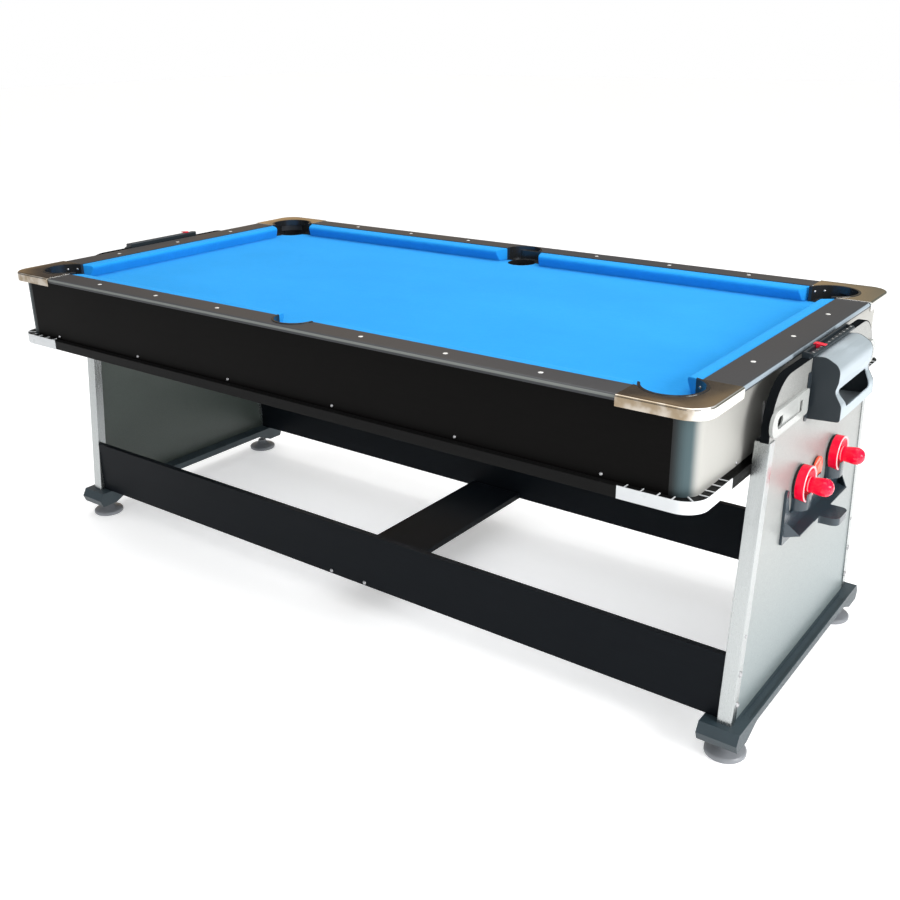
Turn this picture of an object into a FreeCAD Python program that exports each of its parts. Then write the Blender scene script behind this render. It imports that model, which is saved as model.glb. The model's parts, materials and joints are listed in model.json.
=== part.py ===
import FreeCAD, Part
import math
import os

# Swivel games table: a cabinet with pool on one face and air hockey on the other, turning
# between two end frames.  Millimetres, +Z up, +X along the table to the end with the striker
# holder, -Y the player's side.  The origin is on the floor under the middle of the table.

V = FreeCAD.Vector

# cabinet
HALF_L, HALF_W = 1067.5, 568.0      # outer edge of the rails
TOP, BOTTOM = 848.0, 641.5
AXIS_Z = 743.5                      # the turning axis
CORNER_R = 48.0
APRON_X, APRON_Y = 1048.0, 552.0    # outer faces of the aprons, set in from the rails
APRON_T, APRON_R = 15.0, 42.0
APRON_LOW, APRON_HIGH = 666.5, 836.0
SEAM_X = 1001.0                     # where the side apron meets the wrapped end apron

# pool bed
CLOTH_TOP, CLOTH_T = 810.5, 1.0
BED_T, BED_X, BED_Y = 15.5, 1030.0, 534.0
RAIL_X, RAIL_Y = 985.0, 497.0       # inner edges of the rails
RAIL_T, RAIL_BLOCK = 12.0, 37.0
CUSHION_D = 38.0
CAP_X, CAP_Y = 890.0, 395.0         # where the corner caps begin
RAIL_ROUND = 8.0                    # rounding along the outer edge of the rails
SIGHT_PITCH, SIGHT_R = 235.0, 5.5

# pockets: centre of the rim, rim radius, then the narrower drop hole in the bed
CORNER_C, CORNER_RIM = (955.0, 460.0), 68.0
CORNER_HOLE_C, CORNER_HOLE_R = (973.0, 477.0), 52.0
SIDE_C, SIDE_RIM = (0.0, 494.0), 58.0
SIDE_HOLE_C, SIDE_HOLE_R = (0.0, 486.0), 43.0
CUP_T, CUP_FLOOR = 3.0, 728.0

# air hockey side
FRAME_IN_X, FRAME_IN_Y = 993.0, 490.0
FRAME_LOW = 657.0                   # playing surface, facing down when pool is up
HOCKEY_T = 12.0
GOAL_HALF = 150.0
PLENUM_Z = (699.0, 702.0)

# end frames
PANEL_X = (1084.0, 1102.0)
TRIM_X = (1071.4, 1104.6)
BEAM_TOP, BEAM_X = 88.0, (1038.0, 1131.0)
TRIM_TOP = 718.0
LEG_FOOT_Y, LEG_TOP_Y = 381.2, 321.0   # front edge of the trim at the beam and at its top
SHOULDER_Y, PANEL_TOP, SHOULDER_R = 326.0, 843.0, 95.0
BAND_T = 2.5
STRETCHER_Y, STRETCHER_Z = (350.0, 366.0), (90.0, 247.0)
BOARD_X, BOARD_Z = 90.0, (90.0, 106.0)
FOOT_X, FOOT_Y, FOOT_R = 1086.0, 352.0, 46.0
SHAFT_R = 18.0

# fittings on the end panels
BOX_Y = 110.0
LATCH_Y, LATCH_Z, LATCH_H = (131.0, 333.0), 755.0, 28.0
TONGUE_Y, TONGUE_H = (232.0, 256.0), 7.5
LATCH_TRAVEL = 30.0
SCORER_Y, SCORER_X, SCORER_Z = 134.0, (1085.0, 1110.0), (843.0, 857.0)
HOLDER_Y = -6.0                     # middle of the striker rack
STRIKER_Y, STRIKER_Z, STRIKER_R = 108.5, 564.0, 40.5
PUCK_Z, PUCK_R = 559.0, 28.5
BOLT_Z = (132.0, 209.0)


def box(x0, x1, y0, y1, z0, z1):
    return Part.makeBox(x1 - x0, y1 - y0, z1 - z0, V(x0, y0, z0))


def rod(x, y, z, r, length, axis):
    return Part.makeCylinder(r, length, V(x, y, z), V(*axis))


def place(u, v, w, plane):
    """A point of an outline: w is the coordinate across the plane."""
    return {"xy": V(u, v, w), "xz": V(u, w, v), "yz": V(w, u, v)}[plane]


def outline(points, plane, w):
    """Face inside a polygon; a third number on a corner is its fillet radius."""
    n = len(points)
    corners = []
    for i in range(n):
        p = V(points[i][0], points[i][1], 0)
        r = points[i][2] if len(points[i]) > 2 else 0.0
        a = (V(points[i - 1][0], points[i - 1][1], 0) - p).normalize()
        b = (V(points[(i + 1) % n][0], points[(i + 1) % n][1], 0) - p).normalize()
        if r == 0.0:
            corners.append((p, None, p))
            continue
        half = math.acos(max(-1.0, min(1.0, a.dot(b)))) / 2
        cut = r / math.tan(half)
        middle = p + (a + b).normalize() * (r / math.sin(half) - r)
        corners.append((p + a * cut, middle, p + b * cut))
    at = lambda q: place(q.x, q.y, w, plane)
    edges = []
    for i in range(n):
        start, middle, end = corners[i]
        if middle is not None:
            edges.append(Part.Arc(at(start), at(middle), at(end)).toShape())
        following = corners[(i + 1) % n][0]
        if (following - end).Length > 1e-6:
            edges.append(Part.makeLine(at(end), at(following)))
    return Part.Face(Part.Wire(edges))


def prism(points, plane, w0, w1):
    """Outline pushed from w0 to w1 across its plane."""
    along = place(0, 0, w1 - w0, plane)
    return outline(points, plane, w0).extrude(along)


def round_rect(hx, hy, r, z0, z1):
    return prism([(-hx, -hy, r), (hx, -hy, r), (hx, hy, r), (-hx, hy, r)], "xy", z0, z1)


def turned(profile, base, axis):
    """Solid of revolution from (distance along the axis, radius) pairs."""
    wire = Part.makePolygon([V(a, r, 0) for a, r in profile + profile[:1]])
    solid = Part.Face(wire).revolve(V(0, 0, 0), V(1, 0, 0), 360)
    solid.Placement = FreeCAD.Placement(V(*base), FreeCAD.Rotation(V(1, 0, 0), V(*axis)))
    return solid


def fuse(shapes):
    whole = shapes[0].multiFuse(shapes[1:]) if len(shapes) > 1 else shapes[0]
    return whole.removeSplitter()


def cut(shape, tools):
    return shape.cut(tools if isinstance(tools, list) else [tools]).removeSplitter()


def flip_x(shape):
    return shape.mirror(V(0, 0, 0), V(1, 0, 0))


def flip_y(shape):
    return shape.mirror(V(0, 0, 0), V(0, 1, 0))


def four(shape):
    """The shape in all four quarters of the table."""
    return [shape, flip_x(shape), flip_y(shape), flip_y(flip_x(shape))]


def save(name, shapes):
    solids = []
    for shape in shapes if isinstance(shapes, list) else [shapes]:
        solids += shape.Solids
    result = solids[0] if len(solids) == 1 else Part.makeCompound(solids)
    result.exportStep("parts/" + name + ".step")


# ---------------------------------------------------------------- cabinet shell

def side_apron():
    board = box(-SEAM_X, SEAM_X, -APRON_Y, -APRON_Y + APRON_T, APRON_LOW, APRON_HIGH)
    return cut(board, side_screw_holes())


def end_apron():
    outer = round_rect(APRON_X, APRON_Y, APRON_R, APRON_LOW, APRON_HIGH)
    inner = round_rect(APRON_X - APRON_T, APRON_Y - APRON_T, APRON_R - APRON_T,
                       APRON_LOW, APRON_HIGH)
    rest = box(-APRON_X - 1, SEAM_X, -APRON_Y - 1, APRON_Y + 1, APRON_LOW, APRON_HIGH)
    shell = outer.cut(inner).cut(rest)
    goal = box(APRON_X - 20, APRON_X + 1, -GOAL_HALF, GOAL_HALF, APRON_LOW - 1, APRON_LOW + 4)
    shaft = rod(APRON_X - 20, 0, AXIS_Z, SHAFT_R, 30, (1, 0, 0))
    bolts = [rod(APRON_X - 20, y, z, 3.2, 30, (1, 0, 0)) for y, z in shaft_bolts()]
    return cut(shell, [goal, shaft] + bolts + end_screw_holes())


def shaft_bolts():
    return [(40 * sy, AXIS_Z + 28 * sz) for sy in (-1, 1) for sz in (-1, 1)]


def side_screws_at():
    return [(-901 + 352 * i, APRON_LOW + 9) for i in range(6)]


def end_screws_at():
    return [(y, APRON_LOW + 6) for y in (-345, 345)]


def side_screw_holes():
    return [rod(x, -APRON_Y - 1, z, 2.0, 20, (0, 1, 0)) for x, z in side_screws_at()]


def end_screw_holes():
    return [rod(APRON_X - 20, y, z, 2.0, 30, (1, 0, 0)) for y, z in end_screws_at()]


def pan_screw(base, axis, head, shank, length):
    """Pan-head screw with a cross recess; base is the seat of the head."""
    profile = [(-head * 0.55, 0), (-head * 0.55, head * 0.55), (-head * 0.3, head * 0.9),
               (0, head), (0, shank), (length - shank, shank), (length, 0)]
    return turned(profile, base, axis)


def cabinet_screws():
    screws = []
    for x, z in side_screws_at():
        screw = pan_screw((x, -APRON_Y, z), (0, 1, 0), 4.0, 2.0, 14)
        screws += [screw, flip_y(screw)]
    for y, z in end_screws_at():
        screw = pan_screw((APRON_X, y, z), (-1, 0, 0), 4.0, 2.0, 14)
        screws += [screw, flip_x(screw)]
    for y, z in shaft_bolts():
        bolt = pan_screw((APRON_X + 5, y, z), (-1, 0, 0), 6.0, 3.2, 44)
        screws += [bolt, flip_x(bolt)]
    return screws


# ---------------------------------------------------------------- pool rails

def pocket_cutters(clearance):
    corner = rod(*CORNER_C, 780, CORNER_RIM + clearance, 80, (0, 0, 1))
    cup = rod(*CORNER_HOLE_C, 780, CORNER_HOLE_R + clearance, CLOTH_TOP + 2 - 780, (0, 0, 1))
    side = rod(*SIDE_C, 780, SIDE_RIM + clearance, 80, (0, 0, 1))
    return four(corner) + four(cup) + [side, flip_y(side)]


def long_rail():
    """Top board with a rounded outer edge, on the block that carries the cushion."""
    section = [(-HALF_W, APRON_HIGH), (-HALF_W, TOP, RAIL_ROUND), (-RAIL_Y, TOP),
               (-RAIL_Y, CLOTH_TOP), (-RAIL_Y - RAIL_BLOCK, CLOTH_TOP),
               (-RAIL_Y - RAIL_BLOCK, APRON_HIGH)]
    rail = prism(section, "yz", -CAP_X, CAP_X)
    block = flip_y(corner_block())
    rail = fuse([rail, block, flip_x(block)])
    return cut(rail, pocket_cutters(0.3) + sight_holes())


def end_rail():
    section = [(HALF_L, APRON_HIGH), (HALF_L, TOP, RAIL_ROUND), (RAIL_X, TOP),
               (RAIL_X, CLOTH_TOP), (RAIL_X + RAIL_BLOCK, CLOTH_TOP),
               (RAIL_X + RAIL_BLOCK, APRON_HIGH)]
    rail = prism(section, "xz", -CAP_Y, CAP_Y)
    return cut(rail, pocket_cutters(0.3) + sight_holes())


def sight_places():
    places = []
    for i in (-3, -2, -1, 1, 2, 3):
        places += [(i * SIGHT_PITCH, -531.0), (i * SIGHT_PITCH, 531.0)]
    for i in (-1, 0, 1):
        places += [(-1020.0, i * 229.0), (1020.0, i * 229.0)]
    return places


def sight_holes():
    return [rod(x, y, TOP - 3, SIGHT_R, 5, (0, 0, 1)) for x, y in sight_places()]


def rail_sights():
    return [rod(x, y, TOP - 3, SIGHT_R, 3.4, (0, 0, 1)) for x, y in sight_places()]


def corner_cap():
    """Plated casting over one corner: top skin, outer lip, cut round the pocket rim."""
    def plan(grow, z0, z1):
        hx, hy = HALF_L + grow, HALF_W + grow
        whole = round_rect(hx, hy, CORNER_R + grow, z0, z1)
        legs = box(CAP_X, hx, RAIL_Y, hy, z0, z1).fuse(box(RAIL_X, hx, CAP_Y, hy, z0, z1))
        return whole.common(legs)
    outer = plan(3.0, 826.0, TOP + 1)
    hollow = plan(0.0, 825.0, TOP - 2)
    hollow = hollow.fuse(box(CAP_X - 1, RAIL_X + 30, RAIL_Y - 1, HALF_W, 825, TOP - 2))
    hollow = hollow.fuse(box(RAIL_X - 1, HALF_L, CAP_Y - 1, RAIL_Y + 30, 825, TOP - 2))
    hollow = hollow.common(round_rect(HALF_L, HALF_W, CORNER_R, 825, TOP))
    cap = outer.cut(hollow)
    cap = cut(cap, pocket_cutters(0.3))
    rim = [e for e in cap.Edges if abs(e.BoundBox.ZMin - TOP - 1) < 0.01
           and abs(e.BoundBox.ZMax - TOP - 1) < 0.01
           and (e.BoundBox.YMax > HALF_W + 2.9 or e.BoundBox.XMax > HALF_L + 2.9)
           and not (abs(e.BoundBox.XLength) < 0.01 and e.BoundBox.XMax < CAP_X + 1)
           and not (abs(e.BoundBox.YLength) < 0.01 and e.BoundBox.YMax < CAP_Y + 1)]
    return cap.makeFillet(4.5, rim)


def corner_block():
    """End of the long rail under the cap, that carries the pocket."""
    whole = round_rect(HALF_L, HALF_W, CORNER_R, APRON_HIGH, TOP - 2)
    legs = box(CAP_X, HALF_L, RAIL_Y, HALF_W, APRON_HIGH, TOP - 2)
    legs = legs.fuse(box(RAIL_X, HALF_L, CAP_Y, HALF_W, APRON_HIGH, TOP - 2))
    under = box(CAP_X, RAIL_X + RAIL_BLOCK, RAIL_Y, RAIL_Y + RAIL_BLOCK, CLOTH_TOP, TOP - 2)
    under = under.fuse(box(RAIL_X, RAIL_X + RAIL_BLOCK, CAP_Y, RAIL_Y + RAIL_BLOCK,
                           CLOTH_TOP, TOP - 2))
    room = round_rect(APRON_X - APRON_T, APRON_Y - APRON_T, APRON_R - APRON_T, CLOTH_TOP, TOP)
    return whole.common(legs).fuse(under.common(room))


def corner_pocket():
    """Rim horn to horn round the corner, then the cup that drops below the bed."""
    cx, cy = CORNER_C
    ring = rod(cx, cy, CLOTH_TOP, CORNER_RIM, TOP + 2 - CLOTH_TOP, (0, 0, 1))
    ring = ring.cut(rod(cx, cy, CLOTH_TOP - 1, CORNER_RIM - 6, 60, (0, 0, 1)))
    mouth = prism([(cx - 200, cy - 40), (cx - 60, cy + 20), (cx, cy + 5), (cx + 5, cy),
                   (cx + 20, cy - 60), (cx - 40, cy - 200), (cx - 200, cy - 200)],
                  "xy", CLOTH_TOP - 1, TOP + 3)
    ring = ring.cut(mouth)
    shelf = rod(cx, cy, CLOTH_TOP, CORNER_RIM, 2.0, (0, 0, 1)).cut(mouth)
    hx, hy = CORNER_HOLE_C
    cup = rod(hx, hy, CUP_FLOOR, CORNER_HOLE_R, CLOTH_TOP + 2 - CUP_FLOOR, (0, 0, 1))
    bore = rod(hx, hy, CUP_FLOOR + CUP_T, CORNER_HOLE_R - CUP_T, 100, (0, 0, 1))
    above = rod(hx, hy, CLOTH_TOP, CORNER_HOLE_R + 1, 3, (0, 0, 1)).common(mouth)
    return cut(fuse([ring, shelf, cup.cut(above)]), bore)


def side_pocket():
    cx, cy = SIDE_C
    back = APRON_Y - APRON_T - 0.5
    low = box(cx - 80, cx + 80, cy - 100, back, CLOTH_TOP, APRON_HIGH)
    ring = rod(cx, cy, CLOTH_TOP, SIDE_RIM, 60, (0, 0, 1)).common(low)
    ring = ring.fuse(rod(cx, cy, APRON_HIGH, SIDE_RIM, TOP + 2 - APRON_HIGH, (0, 0, 1)))
    bowl = box(cx - 80, cx + 80, cy - 100, back - 3, CLOTH_TOP - 1, APRON_HIGH + 3)
    bowl = rod(cx, cy, CLOTH_TOP - 1, SIDE_RIM - 5, 60, (0, 0, 1)).common(bowl)
    bowl = bowl.fuse(rod(cx, cy, APRON_HIGH + 2, SIDE_RIM - 5, 30, (0, 0, 1)))
    mouth = box(cx - 80, cx + 80, cy - 100, cy + 3, CLOTH_TOP - 1, TOP + 3)
    ring = ring.cut(bowl).cut(mouth)
    shelf = rod(cx, cy, CLOTH_TOP, SIDE_RIM, 2.0, (0, 0, 1)).common(low).cut(mouth)
    hx, hy = SIDE_HOLE_C
    cup = rod(hx, hy, CUP_FLOOR, SIDE_HOLE_R, CLOTH_TOP + 2 - CUP_FLOOR, (0, 0, 1))
    bore = rod(hx, hy, CUP_FLOOR + CUP_T, SIDE_HOLE_R - CUP_T, 100, (0, 0, 1))
    above = rod(hx, hy, CLOTH_TOP, SIDE_HOLE_R + 1, 3, (0, 0, 1)).common(mouth)
    return cut(fuse([ring, shelf, cup.cut(above)]), bore)


def cushion_section(line):
    """Rubber nose profile: (distance from the rail, height)."""
    return [(line, TOP - 2), (line - CUSHION_D + 3, TOP - 4), (line - CUSHION_D, TOP - 8),
            (line - CUSHION_D, TOP - 13), (line - CUSHION_D + 12, CLOTH_TOP),
            (line, CLOTH_TOP)]


def long_cushion():
    section = [(y, z) for y, z in cushion_section(RAIL_Y)]
    bar = prism(section, "yz", 50, 900)
    near = RAIL_Y - CUSHION_D
    blank = prism([(61, RAIL_Y + 1), (75, near - 1), (872, near - 1), (893, RAIL_Y + 1)],
                  "xy", CLOTH_TOP - 1, TOP + 1)
    return bar.common(blank)


def end_cushion():
    section = [(x, z) for x, z in cushion_section(RAIL_X)]
    bar = prism(section, "xz", -410, 410)
    near = RAIL_X - CUSHION_D
    blank = prism([(RAIL_X + 1, -398), (near - 1, -380), (near - 1, 380), (RAIL_X + 1, 398)],
                  "xy", CLOTH_TOP - 1, TOP + 1)
    return bar.common(blank)


def bed_holes(grow):
    corner = rod(CORNER_HOLE_C[0], CORNER_HOLE_C[1], 780, CORNER_HOLE_R + grow, 40, (0, 0, 1))
    side = rod(SIDE_HOLE_C[0], SIDE_HOLE_C[1], 780, SIDE_HOLE_R + grow, 40, (0, 0, 1))
    return four(corner) + [side, flip_y(side)]


def bed_board():
    top = CLOTH_TOP - CLOTH_T
    board = round_rect(BED_X, BED_Y, 32, top - BED_T, top)
    return cut(board, bed_holes(0.3))


def bed_cloth():
    sheet = box(-RAIL_X - 20, RAIL_X + 20, -RAIL_Y - 20, RAIL_Y + 20,
                CLOTH_TOP - CLOTH_T, CLOTH_TOP)
    return cut(sheet, bed_holes(0.3))


# ---------------------------------------------------------------- hockey side

def hockey_frame():
    """Four boards round the hockey surface; their outer edge is the strip under the aprons."""
    outer = round_rect(HALF_L, HALF_W, CORNER_R, BOTTOM, APRON_LOW)
    window = round_rect(FRAME_IN_X, FRAME_IN_Y, 55, BOTTOM - 1, APRON_LOW + 1)
    seat = round_rect(1033, 530, 35, FRAME_LOW, APRON_LOW + 1)
    goal = box(FRAME_IN_X - 5, HALF_L + 5, -GOAL_HALF, GOAL_HALF, BOTTOM + 4, FRAME_LOW)
    relief = corner_plate(0.0)
    ring = cut(outer, [window, seat, goal, flip_x(goal)] + four(relief))
    butt = FRAME_IN_Y - 55
    long_side = box(-HALF_L - 1, HALF_L + 1, -HALF_W - 1, -butt, BOTTOM - 1, APRON_LOW + 1)
    short_side = box(FRAME_IN_X - 60, HALF_L + 1, -butt, butt, BOTTOM - 1, APRON_LOW + 1)
    return [ring.common(board) for board in
            (long_side, flip_y(long_side), short_side, flip_x(short_side))]


def corner_plate(lift):
    whole = round_rect(HALF_L, HALF_W, CORNER_R, BOTTOM + lift, BOTTOM + 2.5)
    legs = box(906, HALF_L, 512, HALF_W, BOTTOM, BOTTOM + 2.5)
    legs = legs.fuse(box(1010, HALF_L, 411, HALF_W, BOTTOM, BOTTOM + 2.5))
    return whole.common(legs)


def corner_guard():
    """Corner moulding of the hockey rail: wall, flat plate and ribs on the ledge."""
    band = round_rect(HALF_L + 1.8, HALF_W + 1.8, CORNER_R + 1.8, BOTTOM, APRON_LOW + 2)
    band = band.cut(round_rect(HALF_L, HALF_W, CORNER_R, BOTTOM - 1, APRON_LOW + 3))
    reach = box(902, HALF_L + 4, 411, HALF_W + 4, BOTTOM, APRON_LOW + 2)
    wall = band.common(reach)
    pieces = [wall, corner_plate(0.0)]
    for x in (916, 950, 984, 1014):
        pieces.append(box(x, x + 2.5, APRON_Y, HALF_W + 1, APRON_LOW, APRON_LOW + 2))
    for y in (427, 459, 491, 517):
        pieces.append(box(APRON_X, HALF_L + 1, y, y + 2.5, APRON_LOW, APRON_LOW + 2))
    inside = round_rect(HALF_L + 1, HALF_W + 1, CORNER_R + 1, APRON_LOW, APRON_LOW + 2)
    inside = inside.cut(round_rect(APRON_X, APRON_Y, APRON_R, APRON_LOW - 1, APRON_LOW + 3))
    ribs = fuse(pieces[2:]).common(inside)
    corner = rod(1026, 527, APRON_LOW, 1.3, 2, (0, 0, 1))
    diagonal = prism([(1034, 541.2), (1036.2, 539), (1054.2, 554), (1052, 556.2)],
                     "xy", APRON_LOW, APRON_LOW + 2).common(inside)
    return fuse([wall, pieces[1], ribs.cut(corner), diagonal])


def hockey_bed():
    return round_rect(1032.5, 529.5, 34, FRAME_LOW, FRAME_LOW + HOCKEY_T)


def batten_places():
    return (-980.0, -600.0, -240.0, 240.0, 600.0, 980.0)


def frame_battens():
    """Cross members between the two beds, with the bearer blocks for the shafts."""
    low, high = FRAME_LOW + HOCKEY_T, CLOTH_TOP - CLOTH_T - BED_T
    battens = []
    for x in batten_places():
        half = 405.0 if abs(x) > 900 else 534.0
        bar = box(x - 9, x + 9, -half, half, low, high)
        slot = box(x - 10, x + 10, -470, 470, low - 1, PLENUM_Z[1])
        battens.append(bar.cut(slot) if half > 500 else
                       bar.cut(box(x - 10, x + 10, -380, 380, low - 1, PLENUM_Z[1])))
    bearer = box(989, APRON_X - APRON_T, -75, 75, PLENUM_Z[1] + 2, high)
    hole = rod(980, 0, AXIS_Z, SHAFT_R, 60, (1, 0, 0))
    bolts = [rod(980, y, z, 3.2, 60, (1, 0, 0)) for y, z in shaft_bolts()]
    bearer = cut(bearer, [hole] + bolts)
    end = cut(battens[-1], [hole] + bolts)
    other = cut(battens[0], [flip_x(hole)] + [flip_x(b) for b in bolts])
    return [fuse([end, bearer]), fuse([other, flip_x(bearer)])] + battens[1:-1]


def plenum_board():
    """Thin tray that closes the air space over the hockey bed."""
    low = FRAME_LOW + HOCKEY_T
    outer = box(-960, 960, -460, 460, low, PLENUM_Z[1])
    inner = box(-945, 945, -445, 445, low - 1, PLENUM_Z[0])
    inlet = rod(0, 0, low, 45, 60, (0, 0, 1))
    return cut(outer, [inner, inlet])


def blower_housing():
    """Round fan case standing on the air inlet of the plenum."""
    z = PLENUM_Z[1]
    case = rod(0, 0, z, 78, 52, (0, 0, 1)).fuse(rod(0, 0, z, 96, 3, (0, 0, 1)))
    hollow = rod(0, 0, z + 3, 75, 46, (0, 0, 1))
    throat = rod(0, 0, z - 1, 45, 10, (0, 0, 1))
    eye = rod(0, 0, z + 40, 40, 20, (0, 0, 1))
    shell = cut(case, [hollow, throat, eye])
    motor = rod(0, 0, z + 32, 24, 20, (0, 0, 1))
    arms = [box(20, 76, -3, 3, z + 49, z + 52), box(-76, -20, -3, 3, z + 49, z + 52)]
    bore = rod(0, 0, z + 20, 4.05, 28, (0, 0, 1))
    return cut(fuse([shell, motor] + arms), bore)


def blower_impeller():
    z = PLENUM_Z[1]
    disc = rod(0, 0, z + 26, 66, 3, (0, 0, 1))
    ring = rod(0, 0, z + 8, 66, 3, (0, 0, 1)).cut(rod(0, 0, z + 7, 50, 5, (0, 0, 1)))
    spindle = rod(0, 0, z + 20, 4.0, 26, (0, 0, 1))
    hub = rod(0, 0, z + 20, 12, 8, (0, 0, 1))
    blade = box(50, 65.5, -1, 1, z + 8, z + 28)
    blades = []
    for i in range(18):
        vane = blade.copy()
        vane.rotate(V(58, 0, 0), V(0, 0, 1), 25)
        vane.rotate(V(0, 0, 0), V(0, 0, 1), 20 * i)
        blades.append(vane)
    return fuse([disc, ring, spindle, hub] + blades)


def pivot_shaft():
    """Stub shaft with its flange, bolted to the outside of the end apron."""
    flange = prism([(-52, AXIS_Z - 40, 10), (52, AXIS_Z - 40, 10), (52, AXIS_Z + 40, 10),
                    (-52, AXIS_Z + 40, 10)], "yz", APRON_X, APRON_X + 5)
    shaft = rod(995, 0, AXIS_Z, SHAFT_R, 105, (1, 0, 0))
    body = fuse([flange, shaft])
    return cut(body, [rod(APRON_X - 1, y, z, 3.2, 8, (1, 0, 0)) for y, z in shaft_bolts()])


def latch_keeper():
    """Open jaw on the end apron that the latch tongue slides into from outside."""
    x0, x1 = APRON_X, APRON_X + 18
    body = box(x0, x1, 186, 226, AXIS_Z - 14, AXIS_Z + 14)
    mouth = box(x0 + 4, x1 + 1, 194, 227, AXIS_Z - 8.5, AXIS_Z + 8.5)
    plate = box(x0, x0 + 3, 178, 226, AXIS_Z - 24, AXIS_Z + 24)
    return cut(fuse([body, plate]), mouth)


# ---------------------------------------------------------------- end frames

def trim_edge(z):
    """Distance of the trim's front edge from the middle of the panel at height z."""
    share = (z - BEAM_TOP) / (TRIM_TOP - BEAM_TOP)
    return LEG_FOOT_Y + (LEG_TOP_Y - LEG_FOOT_Y) * share


def panel_points(inset, low):
    """Half of the panel outline from the beam to the top, then mirrored."""
    side, top = SHOULDER_Y - inset, PANEL_TOP - inset
    half = [(trim_edge(low) - 2, low), (trim_edge(TRIM_TOP) - 2, TRIM_TOP), (side, TRIM_TOP),
            (side, top, SHOULDER_R - inset)]
    other = [(-p[0],) + tuple(p[1:]) for p in reversed(half)]
    return half + other


def end_panel():
    board = prism(panel_points(BAND_T, BEAM_TOP), "yz", *PANEL_X)
    x = PANEL_X[0] - 1
    holes = [rod(x, 0, AXIS_Z, 30, 20, (1, 0, 0)),
             box(x, x + 20, -100, 100, 783, 818)]
    for s in (-1, 1):
        lo, hi = sorted((s * (TONGUE_Y[0] - LATCH_TRAVEL - 2), s * (TONGUE_Y[1] + 2)))
        holes.append(box(x, x + 20, lo, hi, AXIS_Z - 9, AXIS_Z + 9))
        lo, hi = sorted((s * 236, s * 306))
        holes.append(box(PANEL_X[1] - 10, PANEL_X[1] + 1, lo, hi, LATCH_Z - 14, LATCH_Z + 14))
        for z in BOLT_Z:
            holes.append(rod(x, s * 358, z, 4.2, 20, (1, 0, 0)))
        y, z = trim_screw_at()
        holes.append(rod(PANEL_X[1] - 12, s * y, z, 1.8, 13, (1, 0, 0)))
    for y in (-250, 0, 250):
        holes.append(rod(sum(PANEL_X) / 2, y, BEAM_TOP - 1, 3.0, 45, (0, 0, 1)))
    for y, z in bearing_bolts():
        holes.append(rod(x, y, z, 3.0, 20, (1, 0, 0)))
    return cut(board, holes)


def trim_screw_at():
    return trim_edge(296.0) - 13, 296.0


def bearing_bolts():
    return [(40 * sy, AXIS_Z + 27 * sz) for sy in (-1, 1) for sz in (-1, 1)]


def edge_band():
    """Black moulding over the shoulders and top of the panel."""
    whole = prism(panel_points(0.0, BEAM_TOP), "yz", *PANEL_X)
    inner = prism(panel_points(BAND_T, BEAM_TOP), "yz", PANEL_X[0] - 1, PANEL_X[1] + 1)
    below = box(1000, 1200, -500, 500, 0, TRIM_TOP)
    return cut(whole, [inner, below])


def leg_trim():
    """Extruded edge trim: front face, two flanges and the slot that grips the panel."""
    y = -trim_edge(BEAM_TOP)
    x0, x1 = TRIM_X
    face = outline([(x0, y, 2), (x1, y, 2), (x1, y + 24), (PANEL_X[1], y + 24),
                    (PANEL_X[1], y + 2), (PANEL_X[0], y + 2), (PANEL_X[0], y + 28),
                    (x0, y + 28)], "xy", BEAM_TOP)
    rise = V(0, trim_edge(BEAM_TOP) - trim_edge(TRIM_TOP), TRIM_TOP - BEAM_TOP)
    bar = face.extrude(rise)
    web = outline([(x0 + 2, y + 2), (PANEL_X[0] - 2, y + 2), (PANEL_X[0] - 2, y + 26),
                   (x0 + 2, y + 26)], "xy", BEAM_TOP)
    bar = bar.cut(web.extrude(rise))
    y, z = trim_screw_at()
    holes = [rod(x0 - 1, -358, z, 4.2, 40, (1, 0, 0)) for z in BOLT_Z]
    return cut(bar, holes + [rod(PANEL_X[1] - 1, -y, z, 1.8, 10, (1, 0, 0))])


def foot_beam():
    """Moulded foot: thick bevelled ends, arched middle, scooped top outside the panel."""
    section = [(-398, BEAM_TOP), (-411, 66), (-403, 44, 4), (-350, 44, 20), (-298, 68, 40),
               (298, 68, 40), (350, 44, 20), (403, 44, 4), (411, 66), (398, BEAM_TOP)]
    beam = prism(section, "yz", *BEAM_X)
    scoop = prism([(-340, BEAM_TOP + 1), (-316, BEAM_TOP - 4, 30), (316, BEAM_TOP - 4, 30),
                   (340, BEAM_TOP + 1)], "yz", TRIM_X[1] + 2, BEAM_X[1] - 4)
    holes = [scoop]
    for y in (-FOOT_Y, FOOT_Y):
        holes.append(rod(FOOT_X, y, 40, 6.05, 32, (0, 0, 1)))
    for y in (-250, 0, 250):
        holes.append(rod(sum(PANEL_X) / 2, y, 60, 3.2, 40, (0, 0, 1)))
        holes.append(rod(sum(PANEL_X) / 2, y, 60, 8.0, 14, (0, 0, 1)))
    return cut(beam, holes)


def leveller():
    """Disc foot with a domed skirt on a threaded stud, hex flats for a wrench."""
    profile = [(0, 0), (0, FOOT_R - 2), (2, FOOT_R), (9, FOOT_R), (12, FOOT_R - 3),
               (18, 26), (26, 16), (30, 14), (33, 14), (33, 6.0), (66, 6.0), (68, 4.5), (68, 0)]
    return turned(profile, (FOOT_X, FOOT_Y, 0), (0, 0, 1))


def stretcher():
    board = box(-TRIM_X[0], TRIM_X[0], -STRETCHER_Y[1], -STRETCHER_Y[0], *STRETCHER_Z)
    holes = []
    for z in BOLT_Z:
        hole = rod(1030, -358, z, 4.2, 50, (1, 0, 0))
        holes += [hole, flip_x(hole)]
    for x in (-60, 60):
        holes.append(rod(x, -STRETCHER_Y[1] - 1, 98, 3.0, 20, (0, 1, 0)))
    return cut(board, holes)


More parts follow.
